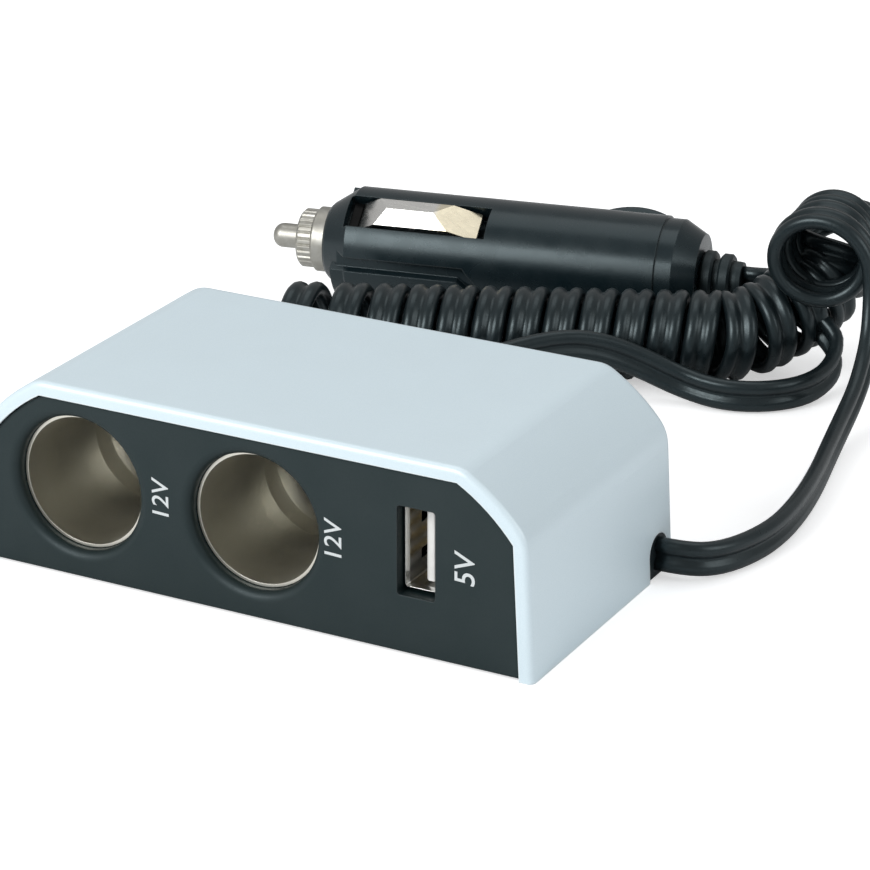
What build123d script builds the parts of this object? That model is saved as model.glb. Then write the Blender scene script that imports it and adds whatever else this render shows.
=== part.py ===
from build123d import *
import math
import os

# A car accessory: a silver two-socket power box with a charging port, and a curly twin lead
# that ends in a fused plug. Millimetres, +X to the right, -Y out of the front panel, +Z up,
# origin under the middle of the box.

# Housing
base_half_width = 49.0
shoulder_half_width = 47.8
shoulder_height = 22.5
roof_half_width = 36.9
shoulder_bow = 0.8
housing_height = 32.0
housing_depth = 50.0
housing_wall = 2.5
rim_width = 2.3
shoulder_radius = 7.0
roof_radius = 5.0
rear_edge_radius = 2.2
front_edge_radius = 1.0
fit_gap = 0.15
base_thickness = 2.0
boss_radius = 2.6
# Bosses are measured back from the panel
boss_places = [(-42.3, 39.9), (41.5, 6.5), (41.0, 31.9)]
middle_boss_depth = 13.5

# Housing screws
screw_radius = 1.05
screw_head_radius = 2.3
screw_length = 9.0
screw_head_depth = 1.3
thread_gap = 0.05

# Front panel
panel_recess = 0.5
panel_gap = 0.2
panel_thickness = 3.0
panel_bottom = 0.4
socket_mouth_gap = 0.1
socket_mouth_edge = 1.5

# Sockets
socket_places = {"left": -30.3, "right": 1.1}
socket_height = 15.6
sleeve_bore_radius = 10.5
sleeve_wall = 0.5
sleeve_length = 30.5
sleeve_wide_length = 19.0
sleeve_step = 0.6
sleeve_taper = 3.0
sleeve_recess = 2.3
cup_wall = 1.7
cup_gap = 0.1
cup_post_gap = 0.3
cup_tail_length = 0.7
cup_floor = 3.0
tab_width = 4.0
tab_reach = 1.2

# Centre contacts and strips
contact_radius = 2.0
contact_head_radius = 4.0
contact_head_depth = 1.6
contact_tail_radius = 3.0
contact_tail_depth = 1.0
strip_thickness = 0.6
feed_strip_height = 5.0
ground_strip_height = 3.0
strip_overhang = 4.0

# Charging port
port_place = 29.3
port_height = 16.8
port_shell_width = 5.7
port_shell_height = 13.1
port_shell_length = 14.0
port_shell_wall = 0.35
port_window_width = 6.4
port_window_height = 14.4
port_recess = 1.9
port_flare = 0.25
port_flare_depth = 0.9
spring_window_length = 5.0
spring_window_height = 1.8
spring_window_place = 3.0
tongue_thickness = 1.84
tongue_height = 11.1
tongue_length = 9.6
tongue_offset = 0.8
tongue_block = 3.0
port_contact_width = 1.0
port_contact_pitch = 2.4
port_contact_thickness = 0.25

# Circuit board, with places on it measured from its front edge
board_thickness = 1.6
board_length = 39.0
board_top = 27.5
board_setback = 1.0
rail_width = 1.4
rail_height = 2.6
rail_length = 22.0
rail_centre = 21.5
inductor_radius = 5.0
inductor_height = 5.5
inductor_waist = 4.1
inductor_flange = 1.1
capacitor_radius = 3.1
capacitor_height = 8.5
capacitor_places = [(16.0, 11.0), (23.7, 11.0)]
inductor_place = (18.5, 16.0)
chip_size = (1.6, 5.0, 6.0)
chip_place = (30.0, 9.0)
solder_gap = 0.05

# Cord grommet
grommet_height = 3.9
grommet_radius = 3.3
grommet_lip = 0.4
grommet_lip_depth = 1.4
grommet_recess = 0.4
grommet_gap = 0.1
grommet_floor = 0.2

# Plug, measured along its axis from the tip of the pin
plug_tip = (-70.0, 102.4, 11.5)
plug_heading = 11.4
plug_roll = 35.0
pin_radius = 2.3
pin_out = 5.8
pin_gap = 0.12
pin_head_radius = 3.3
pin_head_depth = 2.3
pin_head_gap = 0.3
cap_front_wall = 1.5
knurl_radius = 5.5
knurl_end = 8.8
knurl_teeth = 28
knurl_depth = 0.3
cap_flange_radius = 6.1
nose_start = 11.6
cap_thread_radius = 5.0
cap_thread_length = 5.0
cap_bore_radius = 3.75
nose_radius = 7.3
barrel_radius = 10.6
barrel_start = 17.0
grip_start = 75.5
grip_step = 0.4
barrel_end = 78.6
tail_radius = 7.9
plug_length = 82.6
chamber_radius = 3.6
chamber_end = 54.0
tail_chamber_radius = 5.0
tail_chamber_start = 60.0
tail_wall_start = 77.0
half_gap = 0.05
rib_start = 14.2
rib_end = 38.6
rib_tip = 43.5
rib_half_width = 4.2
rib_radius = 10.4
groove_width = 2.4
groove_depth = 1.1
bump_start = 62.0
bump_end = 75.0
bump_rise = 1.5
bump_half_width = 3.6

# Fuse and its spring
fuse_length = 30.0
fuse_glass_radius = 2.95
fuse_cap_radius = 3.2
fuse_cap_length = 6.0
fuse_cap_wall = 0.2
spring_radius = 2.4
spring_wire_radius = 0.38
spring_pitch = 3.9
spring_end_gap = 0.1
seat_thickness = 1.5
seat_gap = 0.08
seat_tail_radius = 1.0

# Side contacts
leaf_thickness = 0.6
leaf_width = 6.0
leaf_slot_width = 7.0
leaf_slot_start = 16.3
leaf_slot_end = 43.4
leaf_slot_floor = 6.0
leaf_ledge_end = 19.4
leaf_foot_height = 8.25
leaf_rise = 1.25
leaf_foot_start = 16.9
leaf_ramp_start = 18.6
leaf_plateau_start = 24.3
leaf_plateau_end = 33.2
leaf_tip_end = 41.5
leaf_tip_height = 8.4
leaf_crown = 1.3
leaf_seat_gap = 0.25

# Strain relief
relief_bore_radius = 3.2
relief_flange_radius = 4.4
relief_flange_depth = 1.4
relief_neck_radius = 3.1
relief_rib_radii = [5.0, 4.7]
relief_rib_depth = 2.2
relief_groove_depth = 1.0
relief_groove_radius = 3.5
relief_end_radius = 3.4

# Twin lead
core_diameter = 3.0
coil_radius = 8.3
lead_radius = core_diameter / math.sqrt(2)

# Values that follow from the sizes above
panel_face = -housing_depth / 2 + panel_recess
panel_back = panel_face + panel_thickness
rear_inside = housing_depth / 2 - housing_wall
wall_lean = (base_half_width - shoulder_half_width) / shoulder_height
sleeve_radius = sleeve_bore_radius + sleeve_wall
sleeve_front = panel_face + sleeve_recess
sleeve_rear = sleeve_front + sleeve_length
sleeve_tail_bore = sleeve_bore_radius - sleeve_step
sleeve_tail_radius = sleeve_tail_bore + sleeve_wall
cup_bore = sleeve_radius + cup_gap
cup_radius = cup_bore + cup_wall
cup_floor_front = sleeve_rear + cup_tail_length
cup_rear = cup_floor_front + cup_floor
socket_mouth_radius = sleeve_radius + socket_mouth_gap
socket_pitch = socket_places["right"] - socket_places["left"]
middle_boss_place = (socket_places["left"] + socket_pitch / 2, panel_back + middle_boss_depth)
middle_boss_radius = socket_pitch / 2 - cup_radius - cup_post_gap
bosses = [(x, panel_back + y, boss_radius) for x, y in boss_places]
bosses.insert(1, (*middle_boss_place, middle_boss_radius))
grommet_place = rear_inside - grommet_radius - grommet_lip
grommet_outside = base_half_width - grommet_recess
board_front = panel_back + board_setback
board_left = port_place + port_shell_width / 2
board_right = board_left + board_thickness
board_bottom = base_thickness + fit_gap
fuse_start = pin_out + cap_front_wall + pin_head_gap + pin_head_depth
fuse_end = fuse_start + fuse_length
spring_seat_front = chamber_end - seat_thickness
relief_end = plug_length + 2 * (relief_rib_depth + relief_groove_depth) + relief_groove_depth
plug_frame = Pos(*plug_tip) * Rot(0, 0, plug_heading) * Rot(plug_roll, 0, 0)
nodes = {}


def front_plane(y):
    """A plane across the housing at depth y, looking out of the front."""
    return Plane(origin=(0, y, 0), x_dir=(1, 0, 0), z_dir=(0, -1, 0))


def housing_outline(inset, bottom, rounded=True):
    """The housing seen from the front, moved inwards by inset and cut off at height bottom."""
    below = -3 * housing_wall
    low_half_width = base_half_width - wall_lean * below
    shoulder = Vector(shoulder_half_width, shoulder_height)
    roof = Vector(roof_half_width, housing_height)
    run = roof - shoulder
    crown = (shoulder + roof) / 2 + Vector(run.Y, -run.X).normalized() * shoulder_bow
    left = ThreePointArc((-shoulder.X, shoulder.Y), (-crown.X, crown.Y), (-roof.X, roof.Y))
    right = ThreePointArc((roof.X, roof.Y), (crown.X, crown.Y), (shoulder.X, shoulder.Y))
    walls = Polyline(right @ 1, (low_half_width, below), (-low_half_width, below), left @ 0)
    outline = make_face(left + Line(left @ 1, right @ 0) + right + walls)
    if rounded:
        outline = fillet(outline.vertices().group_by(Axis.Y)[-1], roof_radius)
        shoulders = [v for v in outline.vertices() if abs(v.Y - shoulder_height) < 0.01]
        outline = fillet(shoulders, shoulder_radius)
    if inset > 0:
        outline = offset(outline, amount=-inset)
    window = Pos(0, bottom + housing_height) * Rectangle(4 * base_half_width, 2 * housing_height)
    return outline & window


def turned(profile, place):
    """A solid of revolution about a socket's axis, from points of (radius, y)."""
    face = make_face(Polyline(*profile, close=True))
    return Pos(place, 0, socket_height) * revolve(face, Axis.Y)


def plug_turned(profile):
    """A solid of revolution about the plug's axis, from points of (distance from the tip, radius)."""
    return revolve(make_face(Polyline(*profile, close=True)), Axis.X)


def box_between(low, high):
    """A box from its lowest corner to its highest corner."""
    size = [b - a for a, b in zip(low, high)]
    middle = [(a + b) / 2 for a, b in zip(low, high)]
    return Pos(*middle) * Box(*size)


def lead_path(name, points, bends):
    """Straight runs joined by tangent arcs, as large as the runs allow where no bends are given."""
    route = [Vector(*p) for p in points]
    radii = list(bends)
    for before, corner, after in zip(route, route[1:], route[2:]):
        if bends:
            break
        run_in = corner - before
        run_out = after - corner
        half_turn = math.radians(run_in.get_angle(run_out)) / 2
        radii.append(0.45 * min(run_in.length, run_out.length) / math.tan(half_turn))
    print(name, "bend radii", [round(r, 1) for r in radii])
    return FilletPolyline(*route, radius=radii)


def lead_tube(name, points, radius, bends=()):
    """A round tube along a route, with its volume set against section times length."""
    path = lead_path(name, points, bends)
    section = Plane(origin=path @ 0, z_dir=path % 0) * Circle(radius)
    tube = sweep(section, path=path)
    expected = math.pi * radius**2 * path.length
    print(name, "length", round(path.length, 1), "volume ratio", round(tube.volume / expected, 4))
    return tube


def make_housing_shell():
    """Silver moulding with a faceted roof, open at the front and below."""
    outer = extrude(front_plane(0) * housing_outline(0, 0), amount=housing_depth / 2, both=True)
    rear_edges = [e for e in outer.faces().sort_by(Axis.Y)[-1].edges() if e.center().Z > 0.1]
    outer = fillet(rear_edges, rear_edge_radius)
    front_edges = [e for e in outer.faces().sort_by(Axis.Y)[0].edges() if e.center().Z > 0.1]
    outer = fillet(front_edges, front_edge_radius)
    inside = housing_outline(housing_wall, -housing_wall)
    shell = outer - extrude(front_plane(rear_inside) * inside, amount=housing_depth)
    pocket = housing_outline(rim_width, -housing_wall, rounded=False)
    shell -= extrude(front_plane(panel_back) * pocket, amount=housing_depth)
    for x, y, radius in bosses:
        top = housing_height - housing_wall / 2
        post = Pos(x, y, (base_thickness + top) / 2) * Cylinder(radius, top - base_thickness)
        shell += post & outer
    for x, y, radius in bosses:
        depth = screw_length + base_thickness
        shell -= Pos(x, y, depth / 2) * Cylinder(screw_radius + thread_gap, depth)
    slot = cord_slot(grommet_radius, 0)
    return shell - extrude(Plane.YZ.offset(shoulder_half_width - 2 * housing_wall) * slot, amount=20)


def cord_slot(radius, bottom):
    """Round-topped slot for the lead, seen along +X."""
    leg = grommet_height - bottom
    foot = Pos(grommet_place, bottom + leg / 2) * Rectangle(2 * radius, leg)
    return Pos(grommet_place, grommet_height) * Circle(radius) + foot


def make_front_panel():
    """Dark plate with two dished socket mouths and the port's window."""
    outline = housing_outline(rim_width + panel_gap, panel_bottom, rounded=False)
    plate = extrude(front_plane(panel_back) * outline, amount=panel_thickness)
    for place in socket_places.values():
        hole = front_plane(panel_back) * Pos(place, socket_height) * Circle(socket_mouth_radius)
        plate -= extrude(hole, amount=panel_thickness)
    mouth_edges = plate.faces().sort_by(Axis.Y)[0].edges().filter_by(GeomType.CIRCLE)
    mouths = [e for e in mouth_edges if abs(e.radius - socket_mouth_radius) < 0.01]
    plate = fillet(mouths, socket_mouth_edge)
    window = Pos(port_place, port_height) * RectangleRounded(port_window_width, port_window_height, 0.5)
    return plate - extrude(front_plane(panel_back) * window, amount=panel_thickness)


def make_base_cover():
    """Bottom plate with countersunk screw holes and two rails that hold the circuit board."""
    half_width = base_half_width - housing_wall - 2 * fit_gap
    cover = box_between(
        (-half_width, panel_back + fit_gap, 0),
        (half_width, rear_inside - fit_gap, base_thickness),
    )
    for x in (board_left - rail_width - fit_gap, board_right + fit_gap):
        middle = board_front + rail_centre
        low = (x, middle - rail_length / 2, base_thickness)
        high = (x + rail_width, middle + rail_length / 2, base_thickness + rail_height)
        cover += box_between(low, high)
    for x, y, radius in bosses:
        hole_radius = screw_radius + 2 * thread_gap
        cover -= Pos(x, y, base_thickness / 2) * Cylinder(hole_radius, base_thickness)
        sink = Cone(screw_head_radius + fit_gap, hole_radius, screw_head_depth)
        cover -= Pos(x, y, screw_head_depth / 2) * sink
    lip = grommet_radius + grommet_lip + fit_gap
    notch_low = (half_width - 2 * grommet_lip_depth, grommet_place - lip, -1)
    notch_high = (half_width + 1, half_width, base_thickness + 1)
    return cover - box_between(notch_low, notch_high)


def make_housing_screws():
    """Countersunk screws that hold the base cover to the posts in the housing."""
    profile = [
        (0, 0.1),
        (screw_head_radius, 0.1),
        (screw_radius, screw_head_depth),
        (screw_radius, screw_length),
        (screw_radius / 2, screw_length + screw_radius / 2),
        (0, screw_length + screw_radius / 2),
    ]
    screw = revolve(Plane.XZ * make_face(Polyline(*profile, close=True)), Axis.Z)
    slot = Pos(0, 0, 0.1) * Box(2.4 * screw_radius, 0.5, 0.8)
    cross = slot + Rot(0, 0, 90) * slot
    return Compound(children=[Pos(x, y, 0) * (screw - cross).solids()[0] for x, y, radius in bosses])


def make_cord_grommet():
    """Rubber bush that fills the lead's slot, with a lip behind the wall."""
    lean = wall_lean * (grommet_height + grommet_radius + grommet_lip)
    wall_inside = base_half_width - housing_wall - lean - fit_gap
    body = cord_slot(grommet_radius - grommet_gap, grommet_floor)
    bush = extrude(Plane.YZ.offset(wall_inside) * body, amount=grommet_outside - wall_inside)
    lip = cord_slot(grommet_radius + grommet_lip, grommet_floor)
    return bush + extrude(Plane.YZ.offset(wall_inside) * lip, amount=-grommet_lip_depth)


def make_socket_sleeve(place):
    """Stepped metal sleeve with an earth tab at the bottom of its rear edge."""
    step_start = sleeve_front + sleeve_wide_length
    step_end = step_start + sleeve_taper
    profile = [
        (sleeve_bore_radius, sleeve_front),
        (sleeve_radius, sleeve_front),
        (sleeve_radius, step_start),
        (sleeve_tail_radius, step_end),
        (sleeve_tail_radius, sleeve_rear),
        (sleeve_tail_bore, sleeve_rear),
        (sleeve_tail_bore, step_end),
        (sleeve_bore_radius, step_start),
    ]
    tab_top = socket_height - sleeve_tail_bore
    tab_low = (place - tab_width / 2, sleeve_rear - sleeve_step, tab_top - sleeve_wall)
    tab_high = (place + tab_width / 2, cup_rear + tab_reach, tab_top)
    bore = Pos(place, sleeve_rear, socket_height) * Rot(90, 0, 0) * Cylinder(sleeve_tail_bore, 4)
    return turned(profile, place) + (box_between(tab_low, tab_high) - bore)


def make_socket_cup(place):
    """Plastic cup round the sleeve, with a shoulder behind it and a floor for the contact."""
    tail_bore = sleeve_tail_bore - cup_gap
    profile = [
        (cup_bore, panel_back),
        (cup_radius, panel_back),
        (cup_radius, cup_rear),
        (contact_radius + cup_gap, cup_rear),
        (contact_radius + cup_gap, cup_floor_front),
        (tail_bore, cup_floor_front),
        (tail_bore, sleeve_rear + cup_gap),
        (cup_bore, sleeve_rear + cup_gap),
    ]
    tab_top = socket_height - sleeve_tail_bore + 2 * cup_gap
    half_slot = tab_width / 2 + cup_gap
    slot_low = (place - half_slot, sleeve_rear, tab_top - sleeve_wall - 4 * cup_gap)
    slot_high = (place + half_slot, cup_rear + 1, tab_top)
    return turned(profile, place) - box_between(slot_low, slot_high)


def make_centre_contact(place):
    """Riveted button in the middle of a socket's floor, closed over the feed strip."""
    head_front = cup_floor_front - contact_head_depth
    tail_front = cup_rear + strip_thickness
    profile = [
        (0, head_front),
        (contact_head_radius / 2, head_front),
        (contact_head_radius, head_front + contact_head_depth / 2),
        (contact_head_radius, cup_floor_front),
        (contact_radius, cup_floor_front),
        (contact_radius, tail_front),
        (contact_tail_radius, tail_front),
        (contact_tail_radius, tail_front + contact_tail_depth),
        (0, tail_front + contact_tail_depth),
    ]
    return turned(profile, place)


def make_feed_strip():
    """Brass strip from the centre contacts to the circuit board."""
    low = (socket_places["left"] - strip_overhang, cup_rear, socket_height - feed_strip_height / 2)
    high = (
        board_left - solder_gap,
        cup_rear + strip_thickness,
        socket_height + feed_strip_height / 2,
    )
    strip = box_between(low, high)
    for place in socket_places.values():
        hole = Rot(90, 0, 0) * Cylinder(contact_radius + thread_gap, 4 * strip_thickness)
        strip -= Pos(place, cup_rear, socket_height) * hole
    return strip


def make_ground_strip():
    """Brass strip behind the earth tabs of both sleeves, up to the circuit board."""
    middle = socket_height - sleeve_tail_bore - sleeve_wall / 2
    front = cup_rear + tab_reach + solder_gap
    low = (socket_places["left"] - strip_overhang, front, middle - ground_strip_height / 2)
    high = (board_left - solder_gap, front + strip_thickness, middle + ground_strip_height / 2)
    return box_between(low, high)


def make_port_shell():
    """Folded steel shell of the charging port, flared at its mouth, with windows for its springs."""
    centre = Pos(port_place, port_height)
    front = panel_face + port_recess
    rear = front + port_shell_length
    outer = centre * RectangleRounded(port_shell_width, port_shell_height, 0.6)
    inner_width = port_shell_width - 2 * port_shell_wall
    inner_height = port_shell_height - 2 * port_shell_wall
    inner = centre * RectangleRounded(inner_width, inner_height, 0.3)
    shell = extrude(front_plane(rear) * (outer - inner), amount=port_shell_length)
    mouth = centre * RectangleRounded(inner_width + 2 * port_flare, inner_height + 2 * port_flare, 0.4)
    shell -= loft([front_plane(front + port_flare_depth) * inner, front_plane(front) * mouth])
    for sign in (-1, 1):
        middle = (port_place, front + port_shell_length / 2, port_height + sign * spring_window_place)
        shell -= Pos(*middle) * Box(2 * port_shell_width, spring_window_length, spring_window_height)
    return shell


def port_tongue_limits():
    """Front of the tongue, front of its block and rear of the port."""
    rear = panel_face + port_recess + port_shell_length
    block_front = rear - tongue_block
    return block_front - tongue_length, block_front, rear


def make_port_tongue():
    """Plastic block that closes the shell, with the flat tongue in front of it."""
    tongue_front, block_front, rear = port_tongue_limits()
    half_block = port_shell_width / 2 - port_shell_wall - solder_gap
    half_height = port_shell_height / 2 - port_shell_wall - solder_gap
    block = box_between(
        (port_place - half_block, block_front, port_height - half_height),
        (port_place + half_block, rear, port_height + half_height),
    )
    block = fillet(block.edges().filter_by(Axis.Y), 0.3)
    middle = port_place + tongue_offset
    tongue = box_between(
        (middle - tongue_thickness / 2, tongue_front, port_height - tongue_height / 2),
        (middle + tongue_thickness / 2, block_front, port_height + tongue_height / 2),
    )
    front_edges = tongue.faces().sort_by(Axis.Y)[0].edges().filter_by(Axis.Z)
    return block + chamfer(front_edges, 0.5)


def make_port_contacts():
    """Four gold blades on the open side of the tongue."""
    tongue_front, block_front, _ = port_tongue_limits()
    face = port_place + tongue_offset - tongue_thickness / 2
    blades = []
    for i in range(4):
        middle = port_height + (i - 1.5) * port_contact_pitch
        low = (face - port_contact_thickness, tongue_front + 1.2, middle - port_contact_width / 2)
        high = (face, block_front, middle + port_contact_width / 2)
        blades.append(box_between(low, high))
    return Compound(children=blades)


def make_circuit_board():
    """Upright board beside the charging port, standing between the base cover's rails."""
    low = (board_left, board_front, board_bottom)
    high = (board_right, board_front + board_length, board_top)
    board = box_between(low, high)
    return fillet(board.edges().filter_by(Axis.X), 1.0)


def make_inductor():
    """Drum core with two flanges, lying on its end against the board."""
    y, z = inductor_place
    profile = [
        (0, 0),
        (inductor_radius, 0),
        (inductor_radius, inductor_flange),
        (inductor_waist, inductor_flange),
        (inductor_waist, inductor_height - inductor_flange),
        (inductor_radius, inductor_height - inductor_flange),
        (inductor_radius, inductor_height),
        (0, inductor_height),
    ]
    drum = revolve(make_face(Polyline(*profile, close=True)), Axis.Y)
    return Pos(board_left - solder_gap, board_front + y, z) * Rot(0, 0, 90) * drum


def make_capacitors():
    """Two can capacitors on the other face of the board, each with a rolled groove."""
    profile = [
        (0, 0),
        (capacitor_radius, 0),
        (capacitor_radius, 1.2),
        (capacitor_radius - 0.35, 1.6),
        (capacitor_radius, 2.0),
        (capacitor_radius, capacitor_height - 0.4),
        (capacitor_radius - 0.4, capacitor_height),
        (0, capacitor_height),
    ]
    can = revolve(make_face(Polyline(*profile, close=True)), Axis.Y)
    placed = []
    for y, z in capacitor_places:
        placed.append(Pos(board_right + solder_gap, board_front + y, z) * Rot(0, 0, -90) * can)
    return Compound(children=placed)


def make_converter_chip():
    """Small converter chip with a chamfered top on the inductor's side of the board."""
    depth, length, height = chip_size
    y, z = chip_place
    chip = Pos(board_left - solder_gap - depth / 2, board_front + y, z) * Box(depth, length, height)
    return chamfer(chip.faces().sort_by(Axis.X)[0].edges(), 0.3)


def make_plug_barrel():
    """The plug's whole moulding: nose cone, barrel, grip, chambers, slots and side ribs."""
    barrel = plug_turned(
        [
            (nose_start, cap_thread_radius + thread_gap),
            (nose_start, nose_radius - 0.5),
            (nose_start + 0.5, nose_radius),
            (barrel_start, barrel_radius),
            (grip_start, barrel_radius),
            (grip_start, barrel_radius - grip_step),
            (barrel_end, barrel_radius - grip_step),
            (plug_length, tail_radius),
            (plug_length, relief_bore_radius),
            (plug_length - 1.6, relief_bore_radius),
            (plug_length - 1.6, relief_flange_radius + thread_gap),
            (plug_length - 1.7 - relief_flange_depth, relief_flange_radius + thread_gap),
            (plug_length - 1.7 - relief_flange_depth, relief_bore_radius),
            (tail_wall_start, relief_bore_radius),
            (tail_wall_start, tail_chamber_radius),
            (tail_chamber_start, tail_chamber_radius),
            (tail_chamber_start, seat_tail_radius + seat_gap),
            (chamber_end, seat_tail_radius + seat_gap),
            (chamber_end, chamber_radius),
            (nose_start + cap_thread_length + fit_gap, chamber_radius),
            (nose_start + cap_thread_length + fit_gap, cap_thread_radius + thread_gap),
        ]
    )
    barrel += make_grip_bumps()
    barrel += side_rib(rib_half_width, 0) & (plug_rod(rib_radius) - plug_rod(nose_radius))
    groove = side_rib(rib_half_width + groove_width, groove_width) - side_rib(rib_half_width, 0)
    barrel -= groove - plug_rod(barrel_radius - groove_depth)
    for side in (0, 180):
        half = leaf_slot_width / 2
        top = barrel_radius + bump_rise
        deep = box_between((leaf_ledge_end, -half, leaf_slot_floor), (leaf_slot_end, half, top))
        ledge_height = leaf_foot_height - leaf_thickness - leaf_seat_gap
        ledge = box_between((leaf_slot_start, -half, ledge_height), (leaf_slot_end, half, top))
        barrel -= Rot(side, 0, 0) * (deep + ledge)
    return barrel


def make_grip_bumps():
    """Low finger pads on both sides of the grip."""
    foot = barrel_radius - 1.2
    middle = (bump_start + bump_end) / 2
    crown = barrel_radius + bump_rise
    arc = ThreePointArc((bump_start, foot + 1.0), (middle, crown), (bump_end, foot + 1.0))
    rim = Polyline((bump_end, foot + 1.0), (bump_end, foot), (bump_start, foot), (bump_start, foot + 1.0))
    pad = extrude(make_face(arc + rim), amount=bump_half_width, both=True)
    crown_edges = pad.faces().sort_by(Axis.Y)[-1].edges().filter_by(GeomType.CIRCLE)
    pad = fillet(crown_edges, 0.9)
    return pad + Rot(180, 0, 0) * pad


def plug_rod(radius):
    """A round rod on the plug's axis, longer than the plug."""
    return Rot(0, 90, 0) * Cylinder(radius, 3 * plug_length)


def side_rib(half_width, further):
    """A rib across the parting line on both sides, straight at first and pointed at its rear end."""
    plan = [
        (rib_start, -half_width),
        (rib_end + further / 2, -half_width),
        (rib_tip + further, 0),
        (rib_end + further / 2, half_width),
        (rib_start, half_width),
    ]
    return extrude(Plane.XZ * make_face(Polyline(*plan, close=True)), amount=2 * barrel_radius, both=True)


def plug_half(barrel, upper):
    """One half of the plug's moulding, parted along the plane between the side contacts."""
    reach = 4 * barrel_radius
    middle = plug_length / 2
    depth = reach / 2 + half_gap / 2
    block = Pos(middle, 0, depth if upper else -depth) * Box(2 * plug_length, reach, reach)
    return (barrel & block).solids()[0]


def make_nose_cap():
    """Metal cap with a knurled rim that screws into the nose and guides the pin."""
    cap = plug_turned(
        [
            (pin_out, pin_radius + pin_gap),
            (pin_out, knurl_radius - 0.5),
            (pin_out + 0.5, knurl_radius),
            (knurl_end, knurl_radius),
            (knurl_end, cap_flange_radius - 0.4),
            (knurl_end + 0.4, cap_flange_radius),
            (nose_start, cap_flange_radius),
            (nose_start, cap_thread_radius),
            (nose_start + cap_thread_length, cap_thread_radius),
            (nose_start + cap_thread_length, cap_bore_radius),
            (pin_out + cap_front_wall, cap_bore_radius),
            (pin_out + cap_front_wall, pin_radius + pin_gap),
        ]
    )
    notch_length = knurl_end - pin_out
    notch = Rot(45, 0, 0) * Box(notch_length, 2 * knurl_depth, 2 * knurl_depth)
    notch = Pos(pin_out + notch_length / 2, 0, knurl_radius + knurl_depth * 0.4) * notch
    return cap - [Rot(360 / knurl_teeth * i, 0, 0) * notch for i in range(knurl_teeth)]


def make_tip_pin():
    """Sprung centre pin with a round end and a head behind the cap's front wall."""
    head_front = pin_out + cap_front_wall + pin_head_gap
    pin = plug_turned(
        [
            (0, 0),
            (0, pin_radius),
            (head_front, pin_radius),
            (head_front, pin_head_radius),
            (fuse_start, pin_head_radius),
            (fuse_start, 0),
        ]
    )
    return fillet(pin.edges().sort_by(Axis.X)[0], 0.85 * pin_radius)


def make_fuse_glass():
    """Glass tube of the fuse."""
    bore = 0.7 * fuse_glass_radius
    start = fuse_start + fuse_cap_wall + thread_gap
    end = fuse_end - fuse_cap_wall - thread_gap
    return plug_turned(
        [(start, bore), (start, fuse_glass_radius), (end, fuse_glass_radius), (end, bore)]
    )


def make_fuse_caps():
    """Metal end caps of the fuse."""
    front = plug_turned(
        [
            (fuse_start, 0),
            (fuse_start, fuse_cap_radius),
            (fuse_start + fuse_cap_length, fuse_cap_radius),
            (fuse_start + fuse_cap_length, fuse_cap_radius - fuse_cap_wall),
            (fuse_start + fuse_cap_wall, fuse_cap_radius - fuse_cap_wall),
            (fuse_start + fuse_cap_wall, 0),
        ]
    )
    rear = mirror(front, Plane.YZ.offset((fuse_start + fuse_end) / 2))
    return Compound(children=[front, rear])


def make_pin_spring():
    """Coil spring between the fuse and its seat, which pushes the pin out."""
    start = fuse_end + spring_wire_radius + spring_end_gap
    height = spring_seat_front - spring_wire_radius - spring_end_gap - start
    wire = Helix(spring_pitch, height, spring_radius, center=(start, 0, 0), direction=(1, 0, 0))
    section = Plane(origin=wire @ 0, z_dir=wire % 0) * RegularPolygon(spring_wire_radius, 6)
    return sweep(section, path=wire, is_frenet=True)


def make_spring_seat():
    """Rear contact of the fuse: a disc in the end of the chamber with a solder tail."""
    return plug_turned(
        [
            (spring_seat_front, 0),
            (spring_seat_front, chamber_radius - seat_gap),
            (chamber_end, chamber_radius - seat_gap),
            (chamber_end, seat_tail_radius),
            (tail_chamber_start + 3 * seat_tail_radius, seat_tail_radius),
            (tail_chamber_start + 3 * seat_tail_radius, 0),
        ]
    )


def make_side_contact():
    """Pressed leaf spring with a ridged plateau that stands proud of the barrel and earths the plug."""
    plateau = barrel_radius + leaf_rise
    half = leaf_width / 2
    side_view = [
        (leaf_foot_start, 0),
        (leaf_foot_start, leaf_foot_height),
        (leaf_ramp_start, leaf_foot_height),
        (leaf_plateau_start, plateau),
        (leaf_plateau_end, plateau),
        (leaf_tip_end, leaf_tip_height),
        (leaf_tip_end, 0),
    ]
    edge_height = plateau - leaf_crown
    end_view = [(-half, 0), (-half, edge_height), (0, plateau), (half, edge_height), (half, 0)]
    bar = extrude(Plane.XZ * make_face(Polyline(*side_view, close=True)), amount=half, both=True)
    ridge = extrude(Plane.YZ * make_face(Polyline(*end_view, close=True)), amount=leaf_tip_end)
    pressing = bar & ridge
    return pressing - Pos(0, 0, -leaf_thickness) * pressing


def make_strain_relief():
    """Ribbed rubber tail of the plug, held by a flange inside the moulding."""
    flange_rear = plug_length - 1.65
    flange_front = flange_rear - relief_flange_depth
    profile = [
        (tail_wall_start, 0),
        (tail_wall_start, relief_neck_radius),
        (flange_front, relief_neck_radius),
        (flange_front, relief_flange_radius),
        (flange_rear, relief_flange_radius),
        (flange_rear, relief_neck_radius),
        (plug_length + fit_gap, relief_neck_radius),
    ]
    x = plug_length + fit_gap
    for rib_radius in relief_rib_radii:
        profile += [(x, rib_radius - 0.4), (x + 0.4, rib_radius)]
        x += relief_rib_depth
        profile += [(x - 0.4, rib_radius), (x, rib_radius - 0.4), (x, relief_groove_radius)]
        x += relief_groove_depth
        profile += [(x, relief_groove_radius)]
    profile += [(relief_end, relief_end_radius), (relief_end, 0)]
    return plug_turned(profile)


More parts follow.
